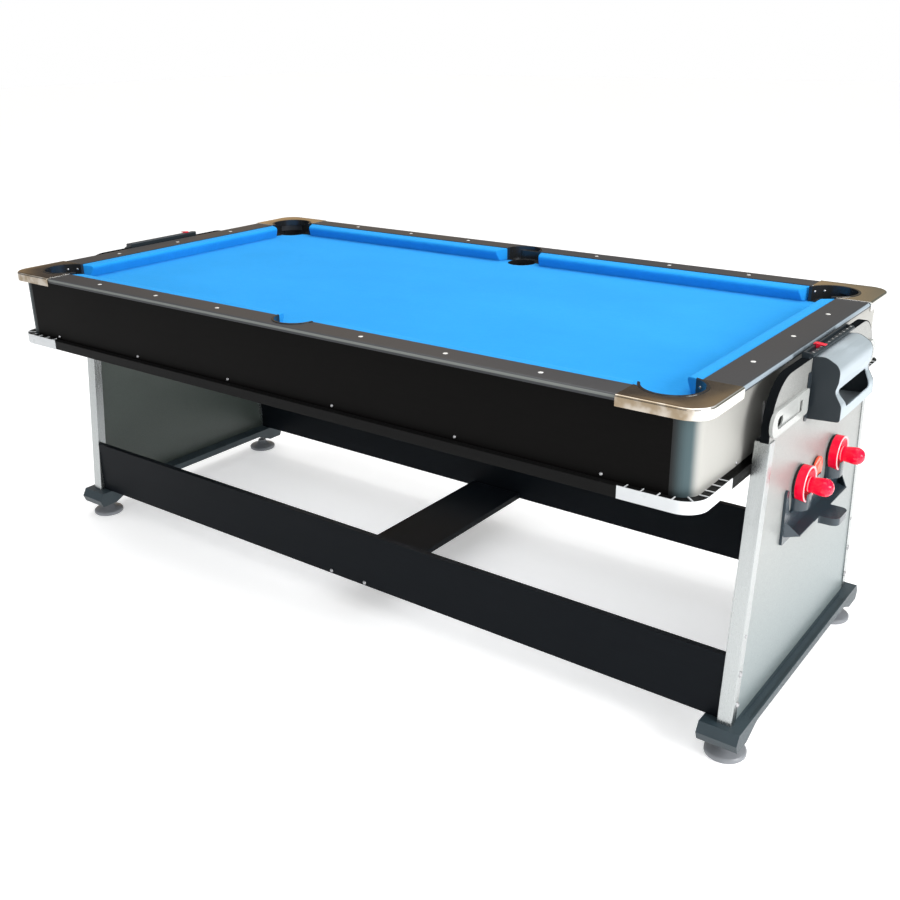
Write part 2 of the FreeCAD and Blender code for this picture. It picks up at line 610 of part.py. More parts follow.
def cross_board():
    board = box(-BOARD_X, BOARD_X, -STRETCHER_Y[0], STRETCHER_Y[0], *BOARD_Z)
    holes = []
    for x in (-60, 60):
        hole = rod(x, -STRETCHER_Y[0] - 1, 98, 3.0, 42, (0, 1, 0))
        holes += [hole, flip_y(hole)]
    return cut(board, holes)


def stand_screws():
    screws = []
    for z in BOLT_Z:
        bolt = pan_screw((TRIM_X[1], -358, z), (-1, 0, 0), 7.0, 4.2, 72)
        screws += four(bolt)
    y, z = trim_screw_at()
    screws += four(pan_screw((TRIM_X[1], y, z), (-1, 0, 0), 4.0, 1.8, 14))
    for x in (-60, 60):
        screw = pan_screw((x, -STRETCHER_Y[1], 98), (0, 1, 0), 5.5, 3.0, 56)
        screws += [screw, flip_y(screw)]
    for y in (-250, 0, 250):
        screw = pan_screw((sum(PANEL_X) / 2, y, 74), (0, 0, 1), 6.5, 3.0, 52)
        screws += [screw, flip_x(screw)]
    for y, z in bearing_bolts():
        screw = pan_screw((PANEL_X[0] - 4, y, z), (1, 0, 0), 5.0, 3.0, 20)
        screws += [screw, flip_x(screw)]
    return screws


def pivot_bearing():
    """Flanged bush in the panel that the stub shaft turns in."""
    flange = prism([(-50, AXIS_Z - 37, 10), (50, AXIS_Z - 37, 10), (50, AXIS_Z + 37, 10),
                    (-50, AXIS_Z + 37, 10)], "yz", PANEL_X[0] - 4, PANEL_X[0])
    sleeve = rod(PANEL_X[0] - 10, 0, AXIS_Z, 30, 27, (1, 0, 0))
    bore = rod(1060, 0, AXIS_Z, SHAFT_R + 0.05, 60, (1, 0, 0))
    bolts = [rod(PANEL_X[0] - 5, y, z, 3.0, 8, (1, 0, 0)) for y, z in bearing_bolts()]
    return cut(fuse([flange, sleeve]), [bore] + bolts)


# ---------------------------------------------------------------- puck return box

def box_profile(inset):
    """S-shaped side of the box, in X and Z; inset makes the inner face."""
    i = inset
    x = PANEL_X[1]
    return [(x, 843 - i), (1128, 846 - i, 30 - i), (1161 - i, 828, 26 - i), (1160 - i, 796, 26),
            (1154 - i, 774, 18 + i), (1171 - i, 746, 22), (1171 - i, 712 + i, 6 - i),
            (x, 708 + i)]


def puck_box_skin():
    """Bent metal skin of the return box with the mouth the puck is taken from."""
    skin = prism(box_profile(0.0), "xz", -BOX_Y, BOX_Y)
    skin = skin.cut(prism(box_profile(2.5), "xz", -BOX_Y - 1, BOX_Y + 1))
    x = PANEL_X[1]
    mouth = prism([(-97, 776, 8), (97, 776, 8), (78, 738, 8), (-78, 738, 8)], "yz", x + 30, x + 90)
    return cut(skin, mouth)


def puck_box_cheek():
    """Side plate of the box with its mounting flange on the panel."""
    cheek = prism(box_profile(0.0), "xz", -BOX_Y - 3, -BOX_Y)
    x = PANEL_X[1]
    flange = prism([(-BOX_Y - 20, 704, 10), (-BOX_Y - 3, 704), (-BOX_Y - 3, 812),
                    (-BOX_Y - 20, 812, 4)], "yz", x, x + 2)
    return fuse([cheek, flange])


# ---------------------------------------------------------------- small fittings

def scorer_bar():
    """Score slide on top of the panel with a rail for the marker."""
    x0, x1 = SCORER_X
    z0, z1 = SCORER_Z
    ledge = z0 + 4.5
    section = [(x0, z0), (PANEL_X[1], z0), (PANEL_X[1], ledge), (x1, ledge), (x1, z1 - 5),
               (x1 - 3, z1 - 2), (x0 + 3, z1, 1), (x0, z1 - 3)]
    bar = prism(section, "xz", -SCORER_Y, SCORER_Y)
    groove = box(x0 + 7, x0 + 17, -SCORER_Y + 6, SCORER_Y - 6, z1 - 7, z1 + 1)
    return cut(bar, groove)


def score_slider():
    x0, x1 = SCORER_X
    z = SCORER_Z[1]
    foot = box(x0 + 7.4, x0 + 16.6, -7, 7, z - 6.6, z + 0.6)
    cap = prism([(x0 + 1, z + 0.4), (x1 + 2, z + 0.4), (x1 + 2, z + 2, 1), (x0 + 6, z + 4, 2),
                 (x0 + 1, z + 3, 1)], "xz", -7, 7)
    return fuse([foot, cap])


def latch_bezel():
    """Moulded frame of one side latch; the slide runs behind its face."""
    x = PANEL_X[1]
    y0, y1 = LATCH_Y
    low, high = LATCH_Z - LATCH_H, LATCH_Z + LATCH_H
    plate = prism([(y0, low, 8), (y1, low, LATCH_H - 0.5), (y1, high, LATCH_H - 0.5),
                   (y0, high, 8)], "yz", x, x + 7)
    race = box(x - 1, x + 4, y0 + 5, 307, LATCH_Z - 19, LATCH_Z + 19)
    window = prism([(166, LATCH_Z - 13, 3), (306, LATCH_Z - 13, 12),
                    (306, LATCH_Z + 13, 12), (166, LATCH_Z + 13, 3)], "yz", x + 3, x + 8)
    return cut(plate, [race, window])


def latch_slide():
    """Sliding plate with the finger hole, and the tongue behind it through the panel."""
    x = PANEL_X[1]
    plate = box(x + 0.4, x + 3.6, 170, 304, LATCH_Z - 18.5, LATCH_Z + 18.5)
    finger = prism([(268, LATCH_Z - 12, 11), (303, LATCH_Z - 12, 11),
                    (303, LATCH_Z + 12, 11), (268, LATCH_Z + 12, 11)], "yz", x, x + 5)
    tongue = box(1064.5, x + 1, *TONGUE_Y, AXIS_Z - TONGUE_H, AXIS_Z + TONGUE_H)
    return cut(fuse([plate, tongue]), finger)


def striker_holder():
    """Moulded rack for two strikers and a puck: back frame, gusseted shelf and three cups."""
    x = PANEL_X[1]
    side = [(190, 444, 4), (190, 566, 10), (178, 574, 6), (164, 509, 10)]
    back = prism(side + [(-y, z, r) for y, z, r in reversed(side)], "yz", x, x + 6)
    plan = [(x, -186), (1135, -157, 2), (1135, -38, 4), (1177, -37, 17), (1177, 37, 17),
            (1135, 38, 4), (1135, 157, 2), (x, 186)]
    shelf = prism(plan, "xy", 461, 464)
    lobe = prism(plan, "xy", 447, 462).common(box(1135, 1180, -60, 60, 430, 470))
    inside = [(1100, -35), (1174.5, -34.5, 15), (1174.5, 34.5, 15), (1100, 35)]
    pieces = [back, shelf, lobe.cut(prism(inside, "xy", 446, 461))]
    for s in (-1, 1):
        pieces.append(gusset(s))
        pieces.append(cup(s * STRIKER_Y, 31, 30))
    pieces.append(cup(0.0, 20, 11))
    rack = fuse(pieces)
    reach = x + 2
    rooms = [rod(reach, 0, PUCK_Z, PUCK_R + 0.4, 6.8, (1, 0, 0))]
    for s in (-1, 1):
        rooms.append(rod(reach, s * STRIKER_Y, STRIKER_Z, STRIKER_R + 0.4, 25.4, (1, 0, 0)))
    rack = cut(rack, rooms)
    rack.translate(V(0, HOLDER_Y, 0))
    return rack


def gusset(s):
    """Triangular end wall of the rack's shelf, from the panel out to its front corner."""
    x = PANEL_X[1]
    low, tip, top = V(x, s * 186, 462), V(1134.5, s * 157, 462), V(x, s * 186, 505)
    face = Part.Face(Part.makePolygon([low, tip, top, low]))
    return face.extrude(V(-1.3, -s * 1.6, 0)).common(box(x, 1140, -200, 200, 450, 510))


def cup(y, half, depth):
    """Open pocket that the lower rim of a round piece drops into."""
    x = PANEL_X[1]
    bend = min(half, depth) - 4
    outer = [(x, y - half), (x + depth, y - half, bend), (x + depth, y + half, bend),
             (x, y + half)]
    bend -= 2
    inner = [(x + 2, y - half + 2), (x + depth - 2, y - half + 2, bend),
             (x + depth - 2, y + half - 2, bend), (x + 2, y + half - 2)]
    return prism(outer, "xy", 508, 545).cut(prism(inner, "xy", 510.5, 546))


def striker():
    """Air-hockey striker, base against the panel and knob pointing out."""
    r = STRIKER_R
    profile = [(0.6, 0), (0.6, r - 2), (2.0, r), (23.5, r), (25, r - 1.5), (24.5, r - 4),
               (12, 24), (12, 16), (34, 17.5), (48, 19.5), (55, 20), (62, 19), (67.5, 16),
               (71.5, 11.5), (74, 6), (74.6, 0)]
    return turned(profile, (PANEL_X[1] + 2, HOLDER_Y + STRIKER_Y, STRIKER_Z), (1, 0, 0))


def puck():
    r = PUCK_R
    profile = [(1.0, 0), (1.0, r - 1), (2.0, r), (5.0, r), (6.0, r - 1), (6.0, 12), (5.4, 11),
               (5.4, 0)]
    return turned(profile, (PANEL_X[1] + 2, HOLDER_Y, PUCK_Z), (1, 0, 0))


def build():
    os.makedirs("parts", exist_ok=True)
    apron = side_apron()
    save("side_apron_front", apron)
    save("side_apron_back", flip_y(apron))
    apron = end_apron()
    save("end_apron_right", apron)
    save("end_apron_left", flip_x(apron))
    rail = long_rail()
    save("long_rail_front", rail)
    save("long_rail_back", flip_y(rail))
    rail = end_rail()
    save("end_rail_right", rail)
    save("end_rail_left", flip_x(rail))
    save("rail_sights", rail_sights())
    save("corner_caps", four(corner_cap()))
    save("pocket_cups_corner", four(corner_pocket()))
    pocket = side_pocket()
    save("pocket_cups_side", [pocket, flip_y(pocket)])
    save("cushions_long", four(long_cushion()))
    cushion = end_cushion()
    save("cushions_end", [cushion, flip_x(cushion)])
    save("bed_board", bed_board())
    save("bed_cloth", bed_cloth())
    save("hockey_frame", hockey_frame())
    save("corner_guards", four(corner_guard()))
    save("hockey_bed", hockey_bed())
    save("plenum_board", plenum_board())
    save("frame_battens", frame_battens())
    save("blower_housing", blower_housing())
    save("blower_impeller", blower_impeller())
    save("cabinet_screws", cabinet_screws())
    shaft = pivot_shaft()
    save("pivot_shafts", [shaft, flip_x(shaft)])
    save("latch_keepers", four(latch_keeper()))

    panel = end_panel()
    save("end_panel_right", panel)
    save("end_panel_left", flip_x(panel))
    band = edge_band()
    save("edge_bands", [band, flip_x(band)])
    trim = leg_trim()
    save("leg_trim_front_right", trim)
    save("leg_trim_front_left", flip_x(trim))
    save("leg_trim_back_right", flip_y(trim))
    save("leg_trim_back_left", flip_y(flip_x(trim)))
    beam = foot_beam()
    save("foot_beam_right", beam)
    save("foot_beam_left", flip_x(beam))
    board = stretcher()
    save("stretcher_front", board)
    save("stretcher_back", flip_y(board))
    save("cross_board", cross_board())
    save("stand_screws", stand_screws())
    bearing = pivot_bearing()
    save("pivot_bearings", [bearing, flip_x(bearing)])
    skin = puck_box_skin()
    save("puck_box_skin_right", skin)
    save("puck_box_skin_left", flip_x(skin))
    save("puck_box_cheeks", four(puck_box_cheek()))
    bar = scorer_bar()
    save("scorer_bar_right", bar)
    save("scorer_bar_left", flip_x(bar))
    marker = score_slider()
    marker.translate(V(0, -65, 0))
    save("score_slider_right", marker)
    marker = flip_x(score_slider())
    marker.translate(V(0, 97, 0))
    save("score_slider_left", marker)
    save("latch_bezels", four(latch_bezel()))
    slide = latch_slide()
    save("latch_slide_back_right", slide)
    save("latch_slide_back_left", flip_x(slide))
    save("latch_slide_front_right", flip_y(slide))
    save("latch_slide_front_left", flip_y(flip_x(slide)))
    save("striker_holder", striker_holder())
    piece = striker()
    save("striker_back", piece)
    piece.translate(V(0, -2 * STRIKER_Y, 0))
    save("striker_front", piece)
    save("puck", puck())
    foot = leveller()
    save("leveller_back_right", foot)
    save("leveller_back_left", flip_x(foot))
    save("leveller_front_right", flip_y(foot))
    save("leveller_front_left", flip_y(flip_x(foot)))


build()
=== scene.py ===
import json
import math

import bmesh
import bpy
from mathutils import Matrix, Vector, geometry, noise

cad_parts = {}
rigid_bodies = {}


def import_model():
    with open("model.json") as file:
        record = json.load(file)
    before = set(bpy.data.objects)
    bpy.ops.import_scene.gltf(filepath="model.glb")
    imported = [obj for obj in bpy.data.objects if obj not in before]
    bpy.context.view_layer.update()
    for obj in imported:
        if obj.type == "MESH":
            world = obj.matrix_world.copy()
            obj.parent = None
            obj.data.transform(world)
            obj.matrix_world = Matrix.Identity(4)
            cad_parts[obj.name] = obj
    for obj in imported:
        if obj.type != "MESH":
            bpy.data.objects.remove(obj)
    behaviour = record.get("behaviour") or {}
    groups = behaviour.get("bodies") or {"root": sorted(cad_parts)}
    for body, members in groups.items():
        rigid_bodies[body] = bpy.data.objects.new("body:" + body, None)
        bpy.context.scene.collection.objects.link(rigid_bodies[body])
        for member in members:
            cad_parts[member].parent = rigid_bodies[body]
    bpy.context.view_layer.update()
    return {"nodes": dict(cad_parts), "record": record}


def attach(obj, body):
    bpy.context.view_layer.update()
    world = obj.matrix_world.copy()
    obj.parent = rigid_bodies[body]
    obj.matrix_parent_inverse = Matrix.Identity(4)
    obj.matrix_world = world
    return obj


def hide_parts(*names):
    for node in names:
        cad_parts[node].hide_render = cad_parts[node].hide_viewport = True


# Looks of the swivel games table.  Metres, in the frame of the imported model:
# +X to the end with the striker rack, -Y the player's side, +Z up.

for leftover in list(bpy.data.objects):
    bpy.data.objects.remove(leftover)
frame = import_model()
NODES = frame["nodes"]

CLOTH_TOP = 0.8105
RAIL_X, RAIL_Y = 0.985, 0.497            # inner faces of the rails
TUCK = 0.02                              # cloth caught under each rail
CORNER_HOLE = (0.973, 0.477, 0.0523)     # cut in the cloth: centre and radius
SIDE_HOLE = (0.0, 0.486, 0.0433)
CORNER_LINER = (0.955, 0.460, 0.0620)    # corner pocket's liner: centre and inner radius
RIVET_Z = 0.835
NOSE_TIP = 0.038                         # how far a cushion stands off its rail
NOSE_MIDDLE_Z = 0.8285
SCORE_STEP = 0.0241                      # from one number on the score bars to the next


# ---------------------------------------------------------------- camera, light, floor

def make_camera():
    """Where the photographer stood: above the right front corner, looking down the table."""
    data = bpy.data.cameras.new("camera")
    data.sensor_width = 36.0
    data.lens = 42.09
    data.clip_end = 200.0
    camera = bpy.data.objects.new("camera", data)
    bpy.context.scene.collection.objects.link(camera)
    azimuth, pitch, roll = math.radians(36.96), math.radians(21.73), math.radians(-0.833)
    turn = Matrix.Rotation(azimuth, 4, "Z") @ Matrix.Rotation(math.pi / 2 - pitch, 4, "X")
    turn = turn @ Matrix.Rotation(roll, 4, "Z")
    camera.matrix_world = Matrix.Translation((1.75213, -2.22351, 1.47623)) @ turn
    bpy.context.scene.camera = camera


def area_light(name, where, target, size, power):
    data = bpy.data.lights.new(name, "AREA")
    data.shape = "RECTANGLE"
    data.size, data.size_y = size
    data.energy = power
    lamp = bpy.data.objects.new(name, data)
    bpy.context.scene.collection.objects.link(lamp)
    look = (Vector(target) - Vector(where)).to_track_quat("-Z", "Y")
    lamp.matrix_world = Matrix.Translation(where) @ look.to_matrix().to_4x4()


def make_world():
    """Pale studio dome, dim and warm low down behind, so that polished parts have shape."""
    world = bpy.data.worlds.new("studio")
    bpy.context.scene.world = world
    world.use_nodes = True
    tree = world.node_tree
    tree.nodes.clear()
    new, link = tree.nodes.new, tree.links.new
    way = new("ShaderNodeTexCoord").outputs["Generated"]
    split = new("ShaderNodeSeparateXYZ")
    link(way, split.inputs[0])

    def blend(value, low, high, color_low, color_high):
        share = new("ShaderNodeMapRange")
        share.interpolation_type = "SMOOTHSTEP"
        link(value, share.inputs["Value"])
        share.inputs["From Min"].default_value = low
        share.inputs["From Max"].default_value = high
        mix = new("ShaderNodeMix")
        mix.data_type = "RGBA"
        link(share.outputs[0], mix.inputs["Factor"])
        for socket, color in (("A", color_low), ("B", color_high)):
            if isinstance(color, tuple):
                mix.inputs[socket].default_value = (*color, 1)
            else:
                link(color, mix.inputs[socket])
        return mix.outputs["Result"]

    # Behind the table is a dim room in brown patches; overhead and to the right it is white.
    patches = new("ShaderNodeTexNoise")
    link(way, patches.inputs["Vector"])
    patches.inputs["Scale"].default_value = 5.0
    patches.inputs["Detail"].default_value = 2.0
    room = blend(patches.outputs["Fac"], 0.38, 0.62, (0.09, 0.075, 0.065), (0.62, 0.42, 0.22))
    room = blend(split.outputs["X"], -0.40, -0.12, room, (0.22, 0.23, 0.19))
    behind = blend(split.outputs["Z"], 0.36, 0.58, room, (1.0, 1.0, 1.0))
    front = blend(split.outputs["X"], -0.7, 0.5, (0.30, 0.33, 0.37), (0.95, 0.97, 1.0))
    front = blend(split.outputs["Z"], 0.25, 0.6, front, (1.0, 1.0, 1.0))
    around = blend(split.outputs["Y"], 0.05, 0.45, front, behind)
    glow = new("ShaderNodeBackground")
    link(around, glow.inputs["Color"])
    glow.inputs["Strength"].default_value = 0.8
    plain = new("ShaderNodeBackground")
    plain.inputs["Color"].default_value = (1, 1, 1, 1)        # seen past the floor
    ray = new("ShaderNodeLightPath")
    pick = new("ShaderNodeMixShader")
    link(ray.outputs["Is Camera Ray"], pick.inputs["Fac"])
    link(glow.outputs[0], pick.inputs[1])
    link(plain.outputs[0], pick.inputs[2])
    out = new("ShaderNodeOutputWorld")
    link(pick.outputs[0], out.inputs["Surface"])


# ---------------------------------------------------------------- materials

class Finish:
    """One node material, built up step by step on a Principled shader."""

    def __init__(self, name, color, rough=0.5, metal=0.0):
        self.mat = bpy.data.materials.new(name)
        self.mat.use_nodes = True
        self.nodes = self.mat.node_tree.nodes
        self.link = self.mat.node_tree.links.new
        self.shader = self.nodes["Principled BSDF"]
        self.place = self.nodes.new("ShaderNodeTexCoord").outputs["Object"]
        self.normal = None
        self.set("Base Color", color)
        self.set("Roughness", rough)
        self.set("Metallic", metal)
        self.mat.diffuse_color = (*color, 1)

    def set(self, socket, value):
        target = self.shader.inputs[socket]
        if isinstance(value, bpy.types.NodeSocket):
            self.link(value, target)
        elif isinstance(value, tuple):
            target.default_value = (*value, 1)
        else:
            target.default_value = value

    def feed(self, target, value):
        if isinstance(value, bpy.types.NodeSocket):
            self.link(value, target)
        elif isinstance(value, tuple) and len(value) == 3 and target.type == "RGBA":
            target.default_value = (*value, 1)
        else:
            target.default_value = value

    def math(self, kind, a, b=0.0):
        node = self.nodes.new("ShaderNodeMath")
        node.operation = kind
        self.feed(node.inputs[0], a)
        self.feed(node.inputs[1], b)
        return node.outputs[0]

    def axis(self, letter):
        node = self.nodes.new("ShaderNodeSeparateXYZ")
        self.link(self.place, node.inputs[0])
        return node.outputs[letter]

    def step(self, value, low, high):
        """0 below low, 1 above high, smooth between."""
        node = self.nodes.new("ShaderNodeMapRange")
        node.interpolation_type = "SMOOTHSTEP"
        self.feed(node.inputs["Value"], value)
        node.inputs["From Min"].default_value = low
        node.inputs["From Max"].default_value = high
        return node.outputs[0]

    def range(self, value, low, high):
        node = self.nodes.new("ShaderNodeMapRange")
        self.feed(node.inputs["Value"], value)
        node.inputs["To Min"].default_value = low
        node.inputs["To Max"].default_value = high
        return node.outputs[0]

    def stretched(self, stretch):
        node = self.nodes.new("ShaderNodeMapping")
        self.link(self.place, node.inputs["Vector"])
        node.inputs["Scale"].default_value = stretch
        return node.outputs[0]

    def noise(self, scale, detail=3.0, stretch=None, rough=0.55):
        node = self.nodes.new("ShaderNodeTexNoise")
        self.link(self.stretched(stretch) if stretch else self.place, node.inputs["Vector"])
        node.inputs["Scale"].default_value = scale
        node.inputs["Detail"].default_value = detail
        node.inputs["Roughness"].default_value = rough
        return node.outputs["Fac"]

    def cells(self, scale):
        node = self.nodes.new("ShaderNodeTexVoronoi")
        self.link(self.place, node.inputs["Vector"])
        node.inputs["Scale"].default_value = scale
        return node.outputs["Distance"]

    def wave(self, scale, direction, distortion=0.0):
        node = self.nodes.new("ShaderNodeTexWave")
        node.bands_direction = direction
        self.link(self.place, node.inputs["Vector"])
        node.inputs["Scale"].default_value = scale
        node.inputs["Distortion"].default_value = distortion
        return node.outputs["Fac"]

    def mix(self, fac, a, b):
        node = self.nodes.new("ShaderNodeMix")
        node.data_type = "RGBA"
        self.feed(node.inputs["Factor"], fac)
        self.feed(node.inputs["A"], a)
        self.feed(node.inputs["B"], b)
        return node.outputs["Result"]

    def bump(self, height, depth, strength=1.0):
        node = self.nodes.new("ShaderNodeBump")
        node.inputs["Strength"].default_value = strength
        node.inputs["Distance"].default_value = depth
        self.link(height, node.inputs["Height"])
        if self.normal is not None:
            self.link(self.normal, node.inputs["Normal"])
        self.normal = node.outputs[0]
        self.link(self.normal, self.shader.inputs["Normal"])


def shade(color, factor):
    return tuple(min(1.0, c * factor) for c in color)


def moulded(name, color, rough=0.4, grain=0.00004, scale=1400.0, shine=0.5):
    """Plastic with a fine moulded grain, handling marks and faint tone changes."""
    m = Finish(name, color, rough)
    tone = m.noise(6.0, 4.0)
    m.set("Base Color", m.mix(tone, shade(color, 0.8), shade(color, 1.25)))
    m.set("Roughness", m.range(m.noise(35.0, 5.0), rough * 0.8, rough * 1.25))
    m.set("Specular IOR Level", shine)
    m.bump(m.noise(scale, 2.0), grain)
    return m


def laminate(name, color, along, rough=0.4, shine=0.5):
    """Printed board: faint grain lines along one axis under a satin coat."""
    stretch = tuple(1.0 if letter == along else 26.0 for letter in "XYZ")
    m = Finish(name, color, rough)
    lines = m.noise(11.0, 6.0, stretch, 0.7)
    m.set("Base Color", m.mix(lines, shade(color, 0.72), shade(color, 1.3)))
    m.set("Roughness", m.range(m.noise(4.0, 5.0), rough * 0.85, rough * 1.15))
    m.set("Specular IOR Level", shine)
    m.bump(lines, 0.00006, 0.5)
    m.bump(m.noise(2200.0, 1.0), 0.00002, 0.5)
    return m


def brushed(name, color, along, rough=0.3, metal=1.0):
    """Metal with fine brush lines along one axis."""
    stretch = tuple(1.0 if letter == along else 90.0 for letter in "XYZ")
    m = Finish(name, color, rough, metal)
    lines = m.noise(9.0, 5.0, stretch, 0.75)
    m.set("Base Color", m.mix(lines, shade(color, 0.88), shade(color, 1.08)))
    m.set("Roughness", m.range(lines, rough * 0.75, rough * 1.3))
    m.set("Anisotropic", 0.5)
    m.bump(lines, 0.00002, 0.4)
    return m


def wrapped(name):
    """Silver foil round the end apron; painted shade and reflection make it turn dark as it
    bends to the long side.
    """
    m = brushed(name, (0.66, 0.65, 0.62), "Z", 0.44, 0.45)
    x = m.math("ABSOLUTE", m.axis("X"))
    lines = m.noise(9.0, 5.0, (90.0, 90.0, 1.0), 0.75)
    # Painted shade and reflection: near-black at the seam, blue-grey round the bend, then the
    # foil's own silver on the end face.
    seam_painted_shade = m.mix(m.step(x, 1.000, 1.030), (0.003, 0.004, 0.005), (0.050, 0.085, 0.095))
    color = m.mix(m.step(x, 1.034, 1.0479), seam_painted_shade, (0.41, 0.405, 0.38))
    m.set("Base Color", m.mix(m.math("MULTIPLY", lines, 0.12), color, (0.30, 0.30, 0.29)))
    m.set("Specular IOR Level", 0.2)
    return m


def plated(name, color, rough=0.05, lip=None):
    """Bright plating, softly uneven; the lip colour is a painted reflection, a browner tone in
    patches on a cap's long outer face.
    """
    m = Finish(name, color, rough, 1.0)
    if lip is not None:
        # Painted reflection: the caps' long outer faces are tinted brown, in patches.
        side = m.step(m.math("ABSOLUTE", m.axis("Y")), 0.5560, 0.5705)
        patchy_reflection = m.mix(m.step(m.noise(22.0, 3.0), 0.40, 0.62), lip, color)
        m.set("Base Color", m.mix(side, color, m.mix(0.35, lip, patchy_reflection)))
    m.set("Roughness", m.range(m.noise(28.0, 6.0), rough * 0.6, rough * 2.4))
    m.bump(m.noise(45.0, 2.0), 0.00008, 0.35)
    return m


def gloss(name, color, rough=0.12):
    """Smooth moulded plastic under a thin clear coat."""
    m = Finish(name, color, rough)
    m.set("Base Color", m.mix(m.noise(14.0, 3.0), shade(color, 0.86), color))
    m.set("Roughness", m.range(m.noise(60.0, 5.0), rough * 0.7, rough * 1.8))
    m.set("Coat Weight", 0.35)
    m.bump(m.noise(160.0, 2.0), 0.00003, 0.4)
    return m


def edge_marked(m, base, edge, letter, start, end):
    """Painted highlight: a paler line along the rounded outer edge of a rail."""
    out = m.math("ABSOLUTE", m.axis(letter))
    # Painted highlight band, only high on the rounded edge.
    line = m.math("MULTIPLY", m.step(out, start, start + 0.0012),
                  m.math("SUBTRACT", 1.0, m.step(out, end, end + 0.0002)))
    high = m.step(m.axis("Z"), 0.8385, 0.8400)
    m.set("Base Color", m.mix(m.math("MULTIPLY", line, high), base, edge))
    return m


def cloth_finish(name, color):
    """Worsted cloth: crossed threads, a soft nap and faint chalk and shade marks."""
    m = Finish(name, color, 0.88)
    pale = tuple(min(1.0, c * 1.22 + 0.015) for c in color)
    deep = shade(color, 0.82)
    cloudy = m.noise(3.2, 5.0, (1.0, 1.6, 1.0), 0.6)
    nap = m.noise(38.0, 6.0, (1.0, 5.0, 1.0), 0.7)
    m.set("Base Color", m.mix(m.math("MULTIPLY", cloudy, nap), deep, pale))
    m.set("Sheen Weight", 0.12)
    m.set("Sheen Roughness", 0.4)
    m.set("Sheen Tint", (0.35, 0.75, 1.0))
    m.set("Specular IOR Level", 0.08)
    m.bump(m.wave(420.0, "X", 1.5), 0.00012, 0.5)
    m.bump(m.wave(420.0, "Y", 1.5), 0.00012, 0.5)
    m.bump(m.noise(900.0, 3.0), 0.00015, 0.6)
    return m


def speckled(name):
    """Silver speckle outside, plain grey-green inside, parted by the panel's thickness."""
    m = Finish(name, (0.5, 0.5, 0.48), 0.42)
    fine = m.step(m.noise(900.0, 2.0), 0.42, 0.62)
    broad = m.noise(130.0, 4.0)
    silver = m.mix(fine, (0.19, 0.195, 0.19), (0.36, 0.365, 0.35))
    silver = m.mix(m.math("MULTIPLY", broad, 0.35), silver, (0.46, 0.46, 0.445))
    # Painted shade: the silver face turns darker and bluer towards the bottom.
    painted_shade_fade = m.step(m.axis("Z"), 0.05, 0.72)
    silver = m.mix(painted_shade_fade, m.mix(0.55, silver, (0.13, 0.20, 0.22)), silver)
    dark = m.mix(m.noise(300.0, 3.0), (0.040, 0.052, 0.046), (0.075, 0.090, 0.080))
    outer = m.step(m.math("ABSOLUTE", m.axis("X")), 1.1010, 1.1016)
    m.set("Base Color", m.mix(outer, dark, silver))
    m.set("Metallic", m.math("MULTIPLY", outer, 0.35))
    m.set("Roughness", m.range(m.noise(260.0, 3.0), 0.30, 0.48))
    m.bump(m.noise(1300.0, 2.0), 0.00003, 0.5)
    return m


def pebbled(name, color):
    """Foot plastic with a pebble grain."""
    m = Finish(name, color, 0.42)
    grain = m.cells(420.0)
    m.set("Base Color", m.mix(m.noise(9.0, 5.0), shade(color, 0.75), shade(color, 1.4)))
    m.set("Roughness", m.range(grain, 0.34, 0.56))
    m.bump(grain, 0.0003, 0.6)
    m.bump(m.noise(1500.0, 2.0), 0.00004, 0.5)
    return m


def timber(name, color, along):
    """Plain wood with its grain along one axis."""
    stretch = tuple(1.0 if letter == along else 14.0 for letter in "XYZ")
    m = Finish(name, color, 0.65)
    grain = m.noise(9.0, 7.0, stretch, 0.7)
    m.set("Base Color", m.mix(grain, shade(color, 0.6), shade(color, 1.25)))
    m.bump(grain, 0.0004, 0.6)
    return m


def striker_finish(name):
    """Glossy red, black felt under the base and a paler painted highlight round the rim."""
    m = gloss(name, (0.78, 0.004, 0.028), 0.14)
    x = m.axis("X")
    red = m.mix(m.noise(14.0, 3.0), (0.84, 0.002, 0.030), (0.95, 0.003, 0.042))
    # Painted highlight: a pale pink band round the rim.
    rim = m.step(x, 1.1268, 1.1277)
    knob = m.step(x, 1.1292, 1.1296)
    rim = m.math("MULTIPLY", rim, m.math("SUBTRACT", 1.0, knob))
    red = m.mix(rim, red, (0.95, 0.42, 0.45))
    felt = m.step(x, 1.1086, 1.1090)
    fuzz = m.mix(m.noise(700.0, 3.0), (0.008, 0.008, 0.009), (0.03, 0.03, 0.032))
    m.set("Base Color", m.mix(felt, fuzz, red))
    m.set("Roughness", m.math("SUBTRACT", 0.95, m.math("MULTIPLY", felt, 0.81)))
    m.set("Coat Weight", 0.15)
    m.set("Specular IOR Level", 0.3)
    return m


